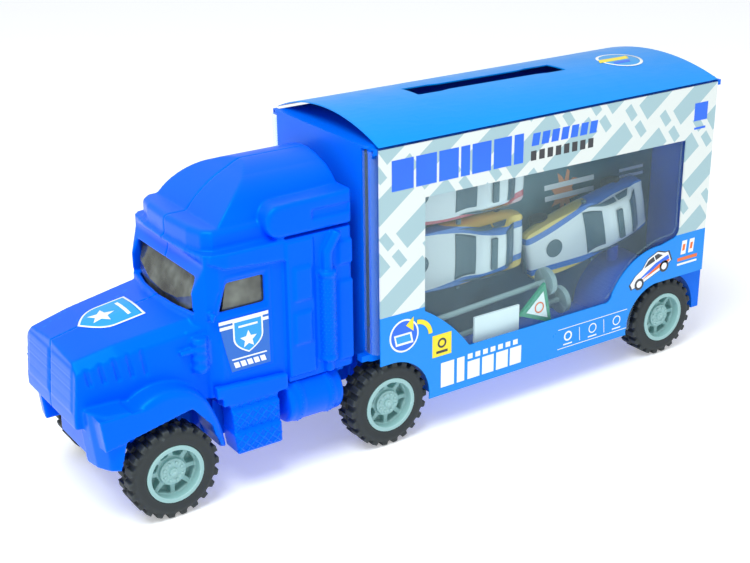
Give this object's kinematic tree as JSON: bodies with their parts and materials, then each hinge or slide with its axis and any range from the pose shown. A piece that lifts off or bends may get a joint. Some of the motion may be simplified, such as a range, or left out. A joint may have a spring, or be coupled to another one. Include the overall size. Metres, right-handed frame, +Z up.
{
  "type": "toy storage truck",
  "caption": "Toy storage truck with a bonneted cab, a clear-sided cargo box in a printed card sleeve, lift-up side doors, a pull-up carry handle and small cars inside.",
  "frame": {"origin": "on the ground, on the centre plane, midway along the truck's length", "axes": "+X forward towards the bonnet, +Y the truck's left, +Z up"},
  "size_m": [0.3179, 0.078, 0.1407],
  "materials": {
    "body_blue": "injection-moulded saturated blue, soft gloss",
    "box_blue": "injection-moulded blue, satin",
    "printed_card": "coated printed card, satin",
    "insert_print": "printed card",
    "tyre_black": "matte",
    "hub_grey": "satin grey-green plastic",
    "axle_steel": "drawn wire",
    "smoked_window": "smoked glossy plastic",
    "clear_plastic": "clear vacuum-formed sheet",
    "sticker_film": "printed film",
    "post_grey": "satin grey",
    "sign_print": "printed",
    "car_paint": "white paint with printed stripes",
    "car_rubber": "black plastic"
  },
  "bodies": {
    "truck": {"cargo_box": "box_blue", "card_roof": "printed_card", "cab_shell_left": "body_blue", "cab_shell_right": "body_blue", "chassis_front": "body_blue", "chassis_rear": "body_blue", "windscreen": "smoked_window", "side_window_left": "smoked_window", "side_window_right": "smoked_window", "cab_screws": "axle_steel", "box_screws": "axle_steel", "bonnet_sticker": "sticker_film", "door_sticker_left": "sticker_film", "door_sticker_right": "sticker_film", "sign_posts": "post_grey", "road_sign": "sign_print", "number_plate_blank": "sign_print", "insert_card": "insert_print", "car_left_1_body": "car_paint", "car_left_1_wheels": "car_rubber", "car_left_2_body": "car_paint", "car_left_2_wheels": "car_rubber", "car_left_3_body": "car_paint", "car_left_3_wheels": "car_rubber", "car_right_1_body": "car_paint", "car_right_1_wheels": "car_rubber", "car_right_2_body": "car_paint", "car_right_2_wheels": "car_rubber", "car_right_3_body": "car_paint", "car_right_3_wheels": "car_rubber"},
    "front_wheels": {"front_tyre_left": "tyre_black", "front_tyre_right": "tyre_black", "front_hub_left": "hub_grey", "front_hub_right": "hub_grey", "front_axle": "axle_steel"},
    "middle_wheels": {"middle_tyre_left": "tyre_black", "middle_tyre_right": "tyre_black", "middle_hub_left": "hub_grey", "middle_hub_right": "hub_grey", "middle_axle": "axle_steel"},
    "rear_wheels": {"rear_tyre_left": "tyre_black", "rear_tyre_right": "tyre_black", "rear_hub_left": "hub_grey", "rear_hub_right": "hub_grey", "rear_axle": "axle_steel"},
    "left_door": {"door_left": "clear_plastic", "card_side_left": "printed_card"},
    "right_door": {"door_right": "clear_plastic", "card_side_right": "printed_card"},
    "handle": {"carry_handle": "box_blue"}
  },
  "joints": [
    {"name": "front_wheels_spin", "type": "hinge", "parent": "truck", "child": "front_wheels", "pos_m": [0.1255, 0, 0.019], "axis": [0, 1, 0], "continuous": true},
    {"name": "middle_wheels_spin", "type": "hinge", "parent": "truck", "child": "middle_wheels", "pos_m": [0.0255, 0, 0.019], "axis": [0, 1, 0], "continuous": true},
    {"name": "rear_wheels_spin", "type": "hinge", "parent": "truck", "child": "rear_wheels", "pos_m": [-0.1334, 0, 0.019], "axis": [0, 1, 0], "continuous": true},
    {"name": "left_door_lift", "type": "hinge", "parent": "truck", "child": "left_door", "pos_m": [0, 0.0376, 0.1306], "axis": [1, 0, 0], "range_deg": [0, 90]},
    {"name": "right_door_lift", "type": "hinge", "parent": "truck", "child": "right_door", "pos_m": [0, -0.0376, 0.1306], "axis": [-1, 0, 0], "range_deg": [0, 90]},
    {"name": "handle_slide", "type": "slide", "parent": "truck", "child": "handle", "axis": [0, 0, 1], "range_m": [0, 0.022]}
  ]
}
